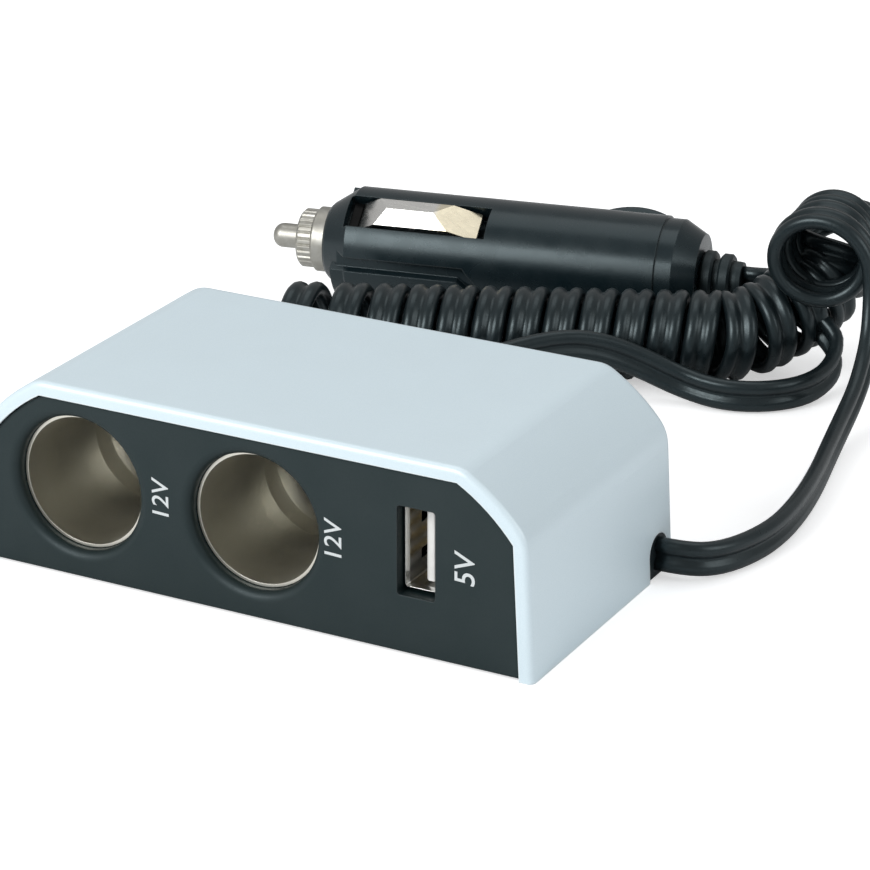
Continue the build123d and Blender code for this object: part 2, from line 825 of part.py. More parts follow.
def plug_point(distance):
    """A point on the plug's axis."""
    heading = math.radians(plug_heading)
    x, y, z = plug_tip
    return (x + distance * math.cos(heading), y + distance * math.sin(heading), z)


# The lead's route: a tail from the grommet, the curly part, and a tail to the plug
coil_route = [
    (-42.0, 63.4, coil_radius),
    (20.5, 104.6, coil_radius),
    (29.3, 110.4, 12.0),
    (35.5, 115.6, 23.4),
    (39.4, 103.5, 26.0),
]
coil_bends = [30.0, 12.0, 9.0]
coil_start = Vector(*coil_route[0])
coil_entry = (Vector(*coil_route[1]) - coil_start).normalized()
coil_end = Vector(*coil_route[-1])
coil_exit = (coil_end - Vector(*coil_route[-2])).normalized()
coil_side = Vector(0, 0, 1).cross(coil_exit).normalized()
coil_down = coil_side.cross(coil_exit)

body_lead_way = (coil_side + coil_down).normalized()
body_lead_base = coil_end - coil_exit * core_diameter
body_lead_end = body_lead_base + body_lead_way * (coil_radius + 0.02)
body_lead_route = [
    (grommet_outside, grommet_place, grommet_height),
    (grommet_outside + 4.6, grommet_place, grommet_height),
    (56.9, 22.2, 3.3),
    (59.5, 28.6, 3.0),
    (61.0, 37.0, 3.0),
    (60.2, 48.5, 3.0),
    (58.0, 60.5, 3.0),
    (55.6, 71.0, 3.1),
    (53.6, 81.0, 4.2),
    (52.4, 89.5, 6.4),
    (51.6, 97.0, 9.2),
    (50.6, 103.5, 12.2),
    tuple(body_lead_end + body_lead_way * 5.0),
    tuple(body_lead_end),
]
plug_lead_route = [
    plug_point(relief_end),
    plug_point(relief_end + 3.0),
    (24.9, 121.1, 9.8),
    (29.6, 120.3, 6.4),
    (33.8, 118.2, 4.2),
    (37.3, 115.8, 3.1),
    (40.4, 111.4, 3.0),
    (42.5, 104.5, 3.0),
    (41.6, 96.2, 3.0),
    (36.9, 89.7, 3.0),
    (29.6, 86.6, 3.0),
    (21.8, 87.2, 3.6),
    (13.3, 86.2, 6.6),
    (6.9, 82.4, 9.4),
    (1.2, 77.4, 10.4),
    (-8.0, 67.5, 8.5),
    (-15.5, 55.0, 5.5),
    (-21.8, 43.4, 3.5),
    (-31.4, 37.1, 3.0),
    (-42.7, 39.5, 3.0),
    (-49.0, 49.1, 5.0),
    tuple(coil_start - coil_entry * 5.5),
    tuple(coil_start),
]

nodes["housing_shell"] = make_housing_shell()
nodes["front_panel"] = make_front_panel()
nodes["base_cover"] = make_base_cover()
nodes["housing_screws"] = make_housing_screws()
nodes["cord_grommet"] = make_cord_grommet()
for side, place in socket_places.items():
    nodes["socket_sleeve_" + side] = make_socket_sleeve(place)
    nodes["socket_cup_" + side] = make_socket_cup(place)
    nodes["centre_contact_" + side] = make_centre_contact(place)
nodes["feed_strip"] = make_feed_strip()
nodes["ground_strip"] = make_ground_strip()
nodes["usb_shell"] = make_port_shell()
nodes["usb_tongue"] = make_port_tongue()
nodes["usb_contacts"] = make_port_contacts()
nodes["circuit_board"] = make_circuit_board()
nodes["power_inductor"] = make_inductor()
nodes["filter_capacitors"] = make_capacitors()
nodes["converter_chip"] = make_converter_chip()

barrel = make_plug_barrel()
nodes["plug_barrel_upper"] = plug_frame * plug_half(barrel, True)
nodes["plug_barrel_lower"] = plug_frame * plug_half(barrel, False)
nodes["nose_cap"] = plug_frame * make_nose_cap()
nodes["tip_pin"] = plug_frame * make_tip_pin()
nodes["fuse_glass"] = plug_frame * make_fuse_glass()
nodes["fuse_caps"] = plug_frame * make_fuse_caps()
nodes["pin_spring"] = plug_frame * make_pin_spring()
nodes["spring_seat"] = plug_frame * make_spring_seat()
nodes["side_contact_upper"] = plug_frame * make_side_contact()
nodes["side_contact_lower"] = plug_frame * Rot(180, 0, 0) * make_side_contact()
nodes["plug_strain_relief"] = plug_frame * make_strain_relief()

nodes["body_lead"] = lead_tube("body_lead", body_lead_route, lead_radius)
nodes["curly_coil"] = lead_tube("curly_coil", coil_route, coil_radius, coil_bends)
nodes["plug_lead"] = lead_tube("plug_lead", plug_lead_route, lead_radius)

os.makedirs("parts", exist_ok=True)
for name, part in nodes.items():
    export_step(part, "parts/" + name + ".step")
    low, high = part.bounding_box().min, part.bounding_box().max
    print(name, "solids", len(part.solids()), "z", round(low.Z, 2), "to", round(high.Z, 2))
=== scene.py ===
# %% [markdown]
# # A car socket splitter with a curly lead
# The object is a silver plastic box with two lighter sockets and a charging port in its dark front panel. A
# curly twin lead joins it to a black plug that fits a car's own lighter socket. The solids come from the
# CAD frame at their real size, and this lesson gives them their finishes, their lead and their printed
# marks.

import math

import bmesh
import bpy
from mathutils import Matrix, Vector


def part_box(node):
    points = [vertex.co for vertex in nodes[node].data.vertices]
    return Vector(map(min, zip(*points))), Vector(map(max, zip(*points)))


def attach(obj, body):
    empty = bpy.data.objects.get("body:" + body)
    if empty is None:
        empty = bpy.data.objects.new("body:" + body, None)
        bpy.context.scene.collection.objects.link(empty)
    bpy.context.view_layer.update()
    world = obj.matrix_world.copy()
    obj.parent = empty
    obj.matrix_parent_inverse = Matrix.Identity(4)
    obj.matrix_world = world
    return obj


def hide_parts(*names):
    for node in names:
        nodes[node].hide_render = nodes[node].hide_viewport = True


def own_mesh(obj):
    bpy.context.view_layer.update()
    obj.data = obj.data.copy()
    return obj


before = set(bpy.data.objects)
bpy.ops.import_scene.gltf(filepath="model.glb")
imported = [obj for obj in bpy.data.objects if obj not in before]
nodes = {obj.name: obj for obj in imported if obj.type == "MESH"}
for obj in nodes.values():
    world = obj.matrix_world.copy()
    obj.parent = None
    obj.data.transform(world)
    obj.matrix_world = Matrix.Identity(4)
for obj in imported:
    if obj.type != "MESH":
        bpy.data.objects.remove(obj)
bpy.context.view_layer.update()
millimetre = 0.001


# %% [markdown]
# ## The camera
# The picture was taken a little from the right and from above, with a long lens, so that the box's edges
# stay nearly parallel. A camera can be turned by hand, but aiming it at a point with to_track_quat keeps
# its roll at zero, and the three values that matter stay in plain sight: where it stands, what it looks at
# and its lens.

# %% Camera
camera_place = Vector((0.2605, -0.4487, 0.2339))
camera_target = Vector((0.0140, 0.0099, 0.0203))
camera_lens = 149.0
camera_sensor = 36.0

camera_data = bpy.data.cameras.new("picture_camera")
camera_data.lens = camera_lens
camera_data.sensor_width = camera_sensor
camera = bpy.data.objects.new("picture_camera", camera_data)
camera.location = camera_place
camera.rotation_euler = (camera_target - camera_place).to_track_quat("-Z", "Y").to_euler()
bpy.context.scene.collection.objects.link(camera)
bpy.context.scene.camera = camera
bpy.context.scene.view_settings.view_transform = "Standard"
print("camera distance in mm:", round((camera_target - camera_place).length / millimetre))

# %% [markdown]
# ## The lead's route
# The lead is one flat twin flex. It leaves the box through a grommet, lies on the table, rises into the
# near end of the curly part, and after some twenty turns comes back round behind the box to the plug. Each
# stretch is a list of given points, and the curly part has an axis of its own. A NURBS spline runs
# smoothly past its control points, as a springy lead does, so no corner has to be rounded afterwards.

# %% Route points in millimetres
box_to_coil = [
    (48.6, 18.8, 3.9), (53.2, 18.8, 3.9), (56.9, 22.2, 3.3), (59.5, 28.6, 3.0), (61.0, 37.0, 3.0),
    (60.2, 48.5, 3.0), (58.0, 60.5, 2.8), (55.6, 71.0, 2.9), (53.8, 81.0, 4.0), (52.9, 88.6, 6.0),
    (52.0, 94.8, 8.8), (51.1, 99.4, 12.8), (50.3, 101.9, 18.2),
]
coil_axis = [
    (40.4, 101.0, 23.9), (38.6, 109.8, 24.7), (36.6, 121.6, 24.4), (35.8, 117.8, 14.8), (27.6, 103.0, 8.4),
    (19.0, 97.9, 8.4), (-49.8, 66.8, 8.4),
]
coil_to_plug = [
    (-43.3, 61.0, 10.3), (-43.9, 56.6, 6.4), (-45.4, 51.0, 3.7), (-44.6, 44.6, 3.0), (-39.4, 39.6, 3.0),
    (-31.4, 38.0, 3.0), (-21.8, 43.4, 3.5), (-15.0, 54.2, 5.9),
    (-7.2, 66.0, 9.2), (2.1, 75.8, 11.2), (7.8, 80.8, 10.2), (14.2, 84.6, 7.3), (21.8, 87.2, 3.6),
    (29.6, 86.6, 3.0), (36.9, 89.7, 3.0), (41.6, 96.2, 3.0), (42.8, 103.5, 4.0), (42.0, 107.5, 6.8),
    (39.2, 108.6, 9.6), (34.9, 109.6, 11.2), (30.4, 112.6, 12.6), (25.4, 118.4, 12.8), (21.17, 120.78, 11.5),
    (18.22, 120.19, 11.5),
]


def spline_points(points, steps):
    """Points along the NURBS spline that has these control points, read from a curve with no bevel."""
    data = bpy.data.curves.new("route", "CURVE")
    data.dimensions = "3D"
    spline = data.splines.new("NURBS")
    spline.points.add(len(points) - 1)
    for control, place in zip(spline.points, points):
        control.co = (*place, 1.0)
    spline.order_u = 3
    spline.use_endpoint_u = True
    spline.resolution_u = steps
    holder = bpy.data.objects.new("route", data)
    mesh = bpy.data.meshes.new_from_object(holder)
    found = [vertex.co.copy() for vertex in mesh.vertices]
    bpy.data.meshes.remove(mesh)
    bpy.data.objects.remove(holder)
    bpy.data.curves.remove(data)
    return found


axis_steps = 40
axis_points = spline_points([Vector(p) * millimetre for p in coil_axis], axis_steps)
axis_length = sum((b - a).length for a, b in zip(axis_points, axis_points[1:]))
print("coil axis in mm:", round(axis_length / millimetre, 1), "of", len(axis_points), "points")

# %% [markdown]
# ## Winding the curly part
# A curly flex is wound hot on a rod, so its turns are a helix whose two cores lie side by side along the
# rod. The turns touch where the lead is at rest and open a little where it is pulled, here towards the far
# left end. A screw modifier can't follow a bent axis, so a loop walks along the axis, carries a square
# frame with it and puts down sixteen control points for each turn. The last few points are left out, since
# there the lead runs off to the table.

# %% Helix of the curly part
upright = Vector((0.0, 0.0, 1.0))
turn_radius = 6.9
turn_count = 20.1
points_per_turn = 16
leaving_points = 7
loose_from = 0.80
far_opening = 0.9
opening_power = 1.5
looseness_samples = 400
ring_part = 0.2
ring_widening = 1.0
entry_part = 0.03
entry_widening = 1.6


def looseness(part):
    """How open the turns are, 1 for touching, at a part of the axis from 0, near ring, to 1, far left."""
    return 1.0 + far_opening * max(0.0, (part - loose_from) / (1.0 - loose_from)) ** opening_power


def turn_width(part):
    """Radius of the turns in millimetres: wider in the near ring, and widest where the lead comes in."""
    pulled = ring_widening * max(0.0, 1.0 - part / ring_part)
    entering = entry_widening * max(0.0, 1.0 - part / entry_part)
    return turn_radius + pulled + entering


def wind_coil(axis, length):
    """Control points of the turns, left-handed from the axis's start, each with the axis's direction."""
    weights = [looseness(k / looseness_samples) for k in range(looseness_samples)]
    mean_angle = sum(1.0 / w for w in weights) / len(weights)
    heading = (axis[1] - axis[0]).normalized()
    side = heading.cross(upright).normalized()
    turns = []
    gone = 0.0
    angle = 0.0
    next_angle = 0.0
    step_angle = 2.0 * math.pi / points_per_turn
    for start, end in zip(axis, axis[1:]):
        heading = (end - start).normalized()
        side = (side - heading * side.dot(heading)).normalized()
        rise = side.cross(heading)
        run = (end - start).length
        turned = 2.0 * math.pi * turn_count * run / length / looseness(gone / length) / mean_angle
        while next_angle <= angle + turned:
            centre = start.lerp(end, (next_angle - angle) / turned)
            spoke = side * math.cos(next_angle) + rise * math.sin(next_angle)
            turns.append((centre + spoke * turn_width(gone / length) * millimetre, heading.copy()))
            next_angle += step_angle
        angle += turned
        gone += run
    return turns


coil_turns = wind_coil(axis_points, axis_length)[:-leaving_points]
print("coil turns:", round((len(coil_turns) - 1) / points_per_turn, 2), "last point:", coil_turns[-1][0])

# %% [markdown]
# ## The flex itself
# Twin flex is two insulated cores joined by a thin web, so its section is a figure of eight. A round bevel
# on a curve would lose the groove between the cores, and that groove is what the light shows best. So a
# second spline runs beside the first and says which way the flat section faces: on edge on the table, along
# the axis in the coil.

# %% Section and facing of the flex
core_diameter = 2.66
core_offset = 1.5
core_sides = 11


def facing_directions():
    """The direction from the middle of the flex to one core, for each control point of the whole lead."""
    rising = [Vector((-0.05, -0.30, 0.95)), Vector((0.05, -0.60, 0.80)), Vector((0.12, -0.85, 0.50))]
    first = [upright for place in box_to_coil[:-len(rising)]] + rising
    middle = [-heading for place, heading in coil_turns]
    leaving = [Vector((0.90, 0.41, 0.10)), Vector((0.80, 0.36, 0.45)), Vector((0.45, 0.20, 0.85))]
    last = leaving + [upright for place in coil_to_plug[len(leaving):]]
    return first + middle + last


def flex_section():
    """The figure of eight's outline as (across, through) pairs in millimetres, one way round."""
    half_gap = math.radians(24.0)
    outline = []
    for centre, first_angle in ((core_offset, -math.pi), (-core_offset, 0.0)):
        for k in range(core_sides):
            angle = first_angle + half_gap + (2.0 * math.pi - 2.0 * half_gap) * k / (core_sides - 1)
            across = centre + core_diameter / 2.0 * math.cos(angle)
            outline.append((across, core_diameter / 2.0 * math.sin(angle)))
    return outline


# %% [markdown]
# ## Sweeping the section
# Blender can bevel a curve with a profile, but then the curve itself decides how the profile turns. A mesh
# built ring by ring leaves that to us: each ring is turned towards the second spline, neighbouring rings
# are joined by faces, and a face at each end closes the flex.

# %% Twin flex mesh
rail_distance = 3.0 * millimetre
lead_steps = 4


def sweep_section(name, line, rail, outline):
    """A closed mesh with this outline at each point of the line, turned towards the rail."""
    mesh = bmesh.new()
    rings = []
    for k, place in enumerate(line):
        ahead = line[min(k + 1, len(line) - 1)]
        behind = line[max(k - 1, 0)]
        heading = (ahead - behind).normalized()
        across = rail[k] - place
        across = (across - heading * across.dot(heading)).normalized()
        through = heading.cross(across)
        spots = [place + (across * a + through * t) * millimetre for a, t in outline]
        rings.append([mesh.verts.new(spot) for spot in spots])
    count = len(outline)
    for near, far in zip(rings, rings[1:]):
        for k in range(count):
            mesh.faces.new((near[k], near[(k + 1) % count], far[(k + 1) % count], far[k]))
    mesh.faces.new(rings[0][::-1])
    mesh.faces.new(rings[-1])
    bmesh.ops.recalc_face_normals(mesh, faces=mesh.faces)
    data = bpy.data.meshes.new(name)
    mesh.to_mesh(data)
    mesh.free()
    data.shade_smooth()
    piece = bpy.data.objects.new(name, data)
    bpy.context.scene.collection.objects.link(piece)
    return piece


lead_controls = [Vector(p) * millimetre for p in box_to_coil]
lead_controls += [place for place, heading in coil_turns]
lead_controls += [Vector(p) * millimetre for p in coil_to_plug]
rail_controls = [place + facing * rail_distance for place, facing in zip(lead_controls, facing_directions())]
lead_line = spline_points(lead_controls, lead_steps)
lead_rail = spline_points(rail_controls, lead_steps)
twin_lead = sweep_section("twin_lead", lead_line, lead_rail, flex_section())

# %% [markdown]
# ## The spring in the plug
# A coil spring behind the fuse pushes the pin out of the plug. A solid stays as long as it was drawn, but a
# spring gets shorter when the pin goes in. So it is wound again here as round wire, with the same section
# sweep as the lead, and its free and pressed lengths are worked out.

# %% Pin spring
plug_tip = Vector((-70.0, 102.4, 11.5)) * millimetre
plug_heading = math.radians(11.4)
plug_axis = Vector((math.cos(plug_heading), math.sin(plug_heading), 0.0))
pin_travel = 3.0 * millimetre
spring_radius = 2.4 * millimetre
spring_pitch = 3.9 * millimetre
wire_radius = 0.38 * millimetre
wire_sides = 10
points_per_coil = 24


def wind_spring(first, last):
    """Points of the wire between two distances from the plug's tip, with a second line beside it."""
    rise = plug_axis.cross(upright)
    steps = round((last - first) / spring_pitch * points_per_coil)
    line = []
    for k in range(steps + 1):
        angle = 2.0 * math.pi * k / points_per_coil
        centre = plug_tip + plug_axis * (first + (last - first) * k / steps)
        line.append(centre + (upright * math.cos(angle) + rise * math.sin(angle)) * spring_radius)
    return line, [place + plug_axis for place in line]


spring_reach = [(vertex.co - plug_tip).dot(plug_axis) for vertex in nodes["pin_spring"].data.vertices]
spring_start, spring_seat_place = min(spring_reach), max(spring_reach)
wire_section = wire_radius / millimetre
round_wire = [
    (wire_section * math.cos(math.radians(angle)), wire_section * math.sin(math.radians(angle)))
    for angle in range(0, 360, 360 // wire_sides)
]
wire_line, wire_rail = wind_spring(spring_start + wire_radius, spring_seat_place - wire_radius)
spring_wire = sweep_section("spring_wire", wire_line, wire_rail, round_wire)
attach(spring_wire, "splitter_box")
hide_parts("pin_spring")
spring_length = spring_seat_place - spring_start
pressed_length = spring_length - pin_travel
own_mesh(spring_wire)
spring_lengths = [round(length / millimetre, 2) for length in (spring_length, pressed_length)]
print("spring in mm, free and pressed:", spring_lengths)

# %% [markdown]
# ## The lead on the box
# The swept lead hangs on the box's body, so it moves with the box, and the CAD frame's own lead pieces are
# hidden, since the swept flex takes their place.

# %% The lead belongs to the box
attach(twin_lead, "splitter_box")
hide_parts("body_lead", "curly_coil", "plug_lead")

# %% [markdown]
# ## Floor and light
# The object stands on a white sweep under soft studio light. One large soft box stands in front on the
# left, so the rim of the panel is the brightest part, a weaker one fills the right side, and a third hangs
# above. The floor has to look white and still keep the shadow, so it glows a little, but only for the rays
# that come straight from the camera.

# %% Floor
floor_half = 3.0


def add_floor(half):
    """A square white floor that reaches this far to each side in metres and glows for the camera alone."""
    mesh = bpy.data.meshes.new("floor")
    corners = [(-half, -half, 0), (half, -half, 0), (half, half, 0), (-half, half, 0)]
    mesh.from_pydata(corners, [], [(0, 1, 2, 3)])
    floor = bpy.data.objects.new("floor", mesh)
    bpy.context.scene.collection.objects.link(floor)
    material = bpy.data.materials.new("white_sweep")
    material.use_nodes = True
    tree = material.node_tree
    tree.nodes.clear()
    plain = tree.nodes.new("ShaderNodeBsdfDiffuse")
    plain.inputs["Color"].default_value = (0.86, 0.87, 0.88, 1.0)
    glow = tree.nodes.new("ShaderNodeEmission")
    glow.inputs["Strength"].default_value = 0.5
    both = tree.nodes.new("ShaderNodeAddShader")
    choose = tree.nodes.new("ShaderNodeMixShader")
    rays = tree.nodes.new("ShaderNodeLightPath")
    output = tree.nodes.new("ShaderNodeOutputMaterial")
    tree.links.new(plain.outputs["BSDF"], both.inputs[0])
    tree.links.new(glow.outputs["Emission"], both.inputs[1])
    tree.links.new(rays.outputs["Is Camera Ray"], choose.inputs["Fac"])
    tree.links.new(plain.outputs["BSDF"], choose.inputs[1])
    tree.links.new(both.outputs["Shader"], choose.inputs[2])
    tree.links.new(choose.outputs["Shader"], output.inputs["Surface"])
    mesh.materials.append(material)


add_floor(floor_half)
print("floor side in m:", 2.0 * floor_half)

# %% Light


def add_soft_box(name, place, target, size, power):
    """An area light of this size in metres, turned to its target."""
    data = bpy.data.lights.new(name, "AREA")
    data.shape = "RECTANGLE"
    data.size, data.size_y = size
    data.energy = power
    light = bpy.data.objects.new(name, data)
    light.location = place
    light.rotation_euler = (Vector(target) - Vector(place)).to_track_quat("-Z", "Y").to_euler()
    bpy.context.scene.collection.objects.link(light)


def add_room_light():
    """An even pale surround that lights the object, and plain white where the camera sees past the floor."""
    world = bpy.data.worlds.new("studio")
    world.use_nodes = True
    bpy.context.scene.world = world
    tree = world.node_tree
    tree.nodes.clear()
    surround = tree.nodes.new("ShaderNodeBackground")
    surround.inputs["Strength"].default_value = 0.42
    backdrop = tree.nodes.new("ShaderNodeBackground")
    for background in (surround, backdrop):
        background.inputs["Color"].default_value = (1.0, 1.0, 1.0, 1.0)
    choose = tree.nodes.new("ShaderNodeMixShader")
    rays = tree.nodes.new("ShaderNodeLightPath")
    output = tree.nodes.new("ShaderNodeOutputWorld")
    tree.links.new(rays.outputs["Is Camera Ray"], choose.inputs["Fac"])
    tree.links.new(surround.outputs["Background"], choose.inputs[1])
    tree.links.new(backdrop.outputs["Background"], choose.inputs[2])
    tree.links.new(choose.outputs["Shader"], output.inputs["Surface"])


light_target = (0.0, 0.04, 0.01)
soft_boxes = [
    ("front_soft_box", (-0.35, -0.75, 0.50), (0.6, 0.5), 6.9),
    ("right_soft_box", (0.85, 0.05, 0.45), (0.5, 0.5), 1.8),
    ("top_soft_box", (-0.10, 0.30, 0.90), (0.8, 0.6), 1.5),
]
for name, place, size, power in soft_boxes:
    add_soft_box(name, place, light_target, size, power)
add_room_light()
print("soft boxes in watts:", [(name, power) for name, place, size, power in soft_boxes])

# %% [markdown]
# ## Tools for the finishes
# Every finish here starts from one Principled shader. What makes a surface believable is that its gloss and
# colour aren't quite even. An image could say where, but it would need a flat layout of every piece. So
# small helpers add noise in the piece's own metres and let it vary the roughness or the tint.

# %% Shader, noise and tint


def new_finish(name, colour, roughness, metallic=0.0):
    """A new material, its node tree and its Principled shader, with these even values to begin with."""
    material = bpy.data.materials.new(name)
    material.use_nodes = True
    tree = material.node_tree
    shader = tree.nodes["Principled BSDF"]
    shader.inputs["Base Color"].default_value = (*colour, 1.0)
    shader.inputs["Roughness"].default_value = roughness
    shader.inputs["Metallic"].default_value = metallic
    return material, tree, shader


def add_noise(tree, spot, stretch=(1.0, 1.0, 1.0), detail=4.0):
    """Noise with spots of this size in millimetres, drawn out where stretch is under 1."""
    place = tree.nodes.new("ShaderNodeTexCoord")
    mapping = tree.nodes.new("ShaderNodeMapping")
    mapping.inputs["Scale"].default_value = stretch
    noise = tree.nodes.new("ShaderNodeTexNoise")
    noise.inputs["Scale"].default_value = 1.0 / (spot * millimetre)
    noise.inputs["Detail"].default_value = detail
    tree.links.new(place.outputs["Object"], mapping.inputs["Vector"])
    tree.links.new(mapping.outputs["Vector"], noise.inputs["Vector"])
    return noise.outputs["Fac"]


def vary(tree, factor, low, high, socket, start=0.3, end=0.7):
    """Runs the socket from low to high as the factor goes from start to end, set for a noise by default."""
    spread = tree.nodes.new("ShaderNodeMapRange")
    spread.inputs["From Min"].default_value = start
    spread.inputs["From Max"].default_value = end
    spread.inputs["To Min"].default_value = low
    spread.inputs["To Max"].default_value = high
    tree.links.new(factor, spread.inputs["Value"])
    tree.links.new(spread.outputs["Result"], socket)


def tint(tree, factor, dark, light, socket):
    """Runs the colour socket between two tints."""
    ramp = tree.nodes.new("ShaderNodeValToRGB")
    ramp.color_ramp.elements[0].position = 0.3
    ramp.color_ramp.elements[0].color = (*dark, 1.0)
    ramp.color_ramp.elements[1].position = 0.7
    ramp.color_ramp.elements[1].color = (*light, 1.0)
    tree.links.new(factor, ramp.inputs["Fac"])
    tree.links.new(ramp.outputs["Color"], socket)


# %% [markdown]
# ## Grain and edges
# Moulded and pressed surfaces have a grain that is too fine to model, so it is raised as a very shallow
# bump. The Bevel node softens the light on edges that the CAD leaves sharp. It also finds those edges, so
# that a lighter colour can be laid along them as a painted highlight.

# %% Bump and painted edge highlights


def emboss(tree, shader, factor, depth, edge=0.15, strength=1.0):
    """A bump of this depth in millimetres, on edges that the light sees rounded by edge millimetres."""
    soft_edge = tree.nodes.new("ShaderNodeBevel")
    soft_edge.samples = 4
    soft_edge.inputs["Radius"].default_value = edge * millimetre
    bump = tree.nodes.new("ShaderNodeBump")
    bump.inputs["Strength"].default_value = strength
    bump.inputs["Distance"].default_value = depth * millimetre
    tree.links.new(factor, bump.inputs["Height"])
    tree.links.new(soft_edge.outputs["Normal"], bump.inputs["Normal"])
    tree.links.new(bump.outputs["Normal"], shader.inputs["Normal"])


# A lighter colour along edges: a painted highlight, standing in for edges catching the light.
def paint_edge_highlights(tree, shader, highlight_colour, width):
    """Paints the highlight colour along edges, which are where the bevelled normal leaves the true one."""
    soft_edge = tree.nodes.new("ShaderNodeBevel")
    soft_edge.samples = 4
    soft_edge.inputs["Radius"].default_value = width * millimetre
    surface = tree.nodes.new("ShaderNodeNewGeometry")
    agree = tree.nodes.new("ShaderNodeVectorMath")
    agree.operation = "DOT_PRODUCT"
    tree.links.new(soft_edge.outputs["Normal"], agree.inputs[0])
    tree.links.new(surface.outputs["Normal"], agree.inputs[1])
    blend = tree.nodes.new("ShaderNodeMix")
    blend.data_type = "RGBA"
    # The Mix node has sockets for each kind of value: 0 is the factor, 6 and 7 are the two colours.
    colour = shader.inputs["Base Color"]
    tree.links.new(colour.links[0].from_socket, blend.inputs[6])
    blend.inputs[7].default_value = (*highlight_colour, 1.0)
    vary(tree, agree.outputs["Value"], 1.0, 0.0, blend.inputs[0], start=0.86, end=0.99)
    tree.links.new(blend.outputs[2], colour)


# %% [markdown]
# ## Plastics of the box
# The shell is moulded plastic with a pale silver paint: tiny flakes under a thin clear coat, so it looks
# almost even and slightly blue. The panel is dark plastic with a fine spark-eroded grain. The hidden cover
# under the box is plainer and more matt. Each is the same recipe with its own scale, which is why one set
# of helpers is enough. In the panel's inner corners the gloss is taken away as painted shade, and the
# ambient occlusion node is an easy way to find them.

# %% Silver paint, panel and cover


def silver_paint():
    material, tree, shader = new_finish("silver_paint", (0.66, 0.78, 0.84), 0.38, 0.08)
    flakes = add_noise(tree, 0.12, detail=2.0)
    tint(tree, flakes, (0.63, 0.755, 0.815), (0.69, 0.805, 0.865), shader.inputs["Base Color"])
    clouds = add_noise(tree, 6.0)
    vary(tree, clouds, 0.34, 0.44, shader.inputs["Roughness"])
    shader.inputs["Coat Weight"].default_value = 0.25
    shader.inputs["Coat Roughness"].default_value = 0.18
    emboss(tree, shader, add_noise(tree, 0.35), 0.004, edge=0.25)
    # The lighter edge colour is a painted highlight.
    paint_edge_highlights(tree, shader, (0.84, 0.89, 0.90), 0.5)
    return material


def panel_plastic():
    material, tree, shader = new_finish("panel_plastic", (0.010, 0.018, 0.019), 0.48)
    clouds = add_noise(tree, 9.0)
    tint(tree, clouds, (0.008, 0.016, 0.017), (0.012, 0.020, 0.021), shader.inputs["Base Color"])
    shader.inputs["Specular Tint"].default_value = (0.82, 0.96, 1.0, 1.0)
    grain = add_noise(tree, 0.22)
    vary(tree, grain, 0.42, 0.56, shader.inputs["Roughness"])
    emboss(tree, shader, grain, 0.006, edge=0.25)
    # Ambient occlusion lowers the gloss in the inner corners: painted shade.
    corner_shade = tree.nodes.new("ShaderNodeAmbientOcclusion")
    corner_shade.samples = 8
    corner_shade.inputs["Distance"].default_value = 1.0 * millimetre
    vary(tree, corner_shade.outputs["AO"], 0.02, 0.42, shader.inputs["Specular IOR Level"], start=0.6, end=0.9)
    # The lighter edge colour is a painted highlight.
    paint_edge_highlights(tree, shader, (0.035, 0.043, 0.045), 0.3)
    return material


def cover_plastic():
    material, tree, shader = new_finish("cover_plastic", (0.020, 0.023, 0.025), 0.55)
    grain = add_noise(tree, 0.4)
    vary(tree, grain, 0.48, 0.64, shader.inputs["Roughness"])
    emboss(tree, shader, grain, 0.012, edge=0.2)
    return material


# %% [markdown]
# ## Black of the plug and the lead
# The plug's two halves are black thermoplastic with a satin gloss that has begun to show handling. The lead
# is soft PVC, which is a little greyer and glossier, with faint marks across it from the winding. Rubber
# pieces are the most matt. A black that is not quite black keeps its shape in the light, so none of these
# goes to zero.

# %% Plug plastic, lead and rubber
blue_sheen = (0.80, 0.96, 1.0, 1.0)


def plug_plastic():
    material, tree, shader = new_finish("plug_plastic", (0.006, 0.012, 0.015), 0.26)
    shader.inputs["Specular Tint"].default_value = blue_sheen
    handling = add_noise(tree, 5.0)
    vary(tree, handling, 0.22, 0.32, shader.inputs["Roughness"])
    tint(tree, handling, (0.005, 0.011, 0.014), (0.008, 0.014, 0.017), shader.inputs["Base Color"])
    grain = add_noise(tree, 0.25)
    emboss(tree, shader, grain, 0.005, edge=0.25)
    # The lighter edge colour is a painted highlight.
    paint_edge_highlights(tree, shader, (0.030, 0.037, 0.040), 0.3)
    return material


def lead_pvc():
    material, tree, shader = new_finish("lead_pvc", (0.007, 0.012, 0.014), 0.32)
    shader.inputs["Specular Tint"].default_value = blue_sheen
    bloom = add_noise(tree, 3.5)
    tint(tree, bloom, (0.005, 0.009, 0.011), (0.009, 0.014, 0.016), shader.inputs["Base Color"])
    grain = add_noise(tree, 0.5)
    vary(tree, grain, 0.27, 0.37, shader.inputs["Roughness"])
    emboss(tree, shader, grain, 0.010, edge=0.05)
    return material


def black_rubber():
    material, tree, shader = new_finish("black_rubber", (0.007, 0.012, 0.014), 0.5)
    shader.inputs["Specular Tint"].default_value = blue_sheen
    grain = add_noise(tree, 0.3)
    vary(tree, grain, 0.42, 0.58, shader.inputs["Roughness"])
    emboss(tree, shader, grain, 0.010, edge=0.2)
    return material


# %% [markdown]
# ## Nickel
# The socket sleeves are deep drawn and nickel plated, so fine rings run round their bore and the tone is
# warm. The side contacts of the plug are brighter nickel, and its turned cap and pin are more satin. Metal
# takes its look from what it mirrors, so each finish mainly sets how blurred that mirror is and which way
# its marks run.

# %% Nickel of the sleeves, the side contacts, the cap and the pin


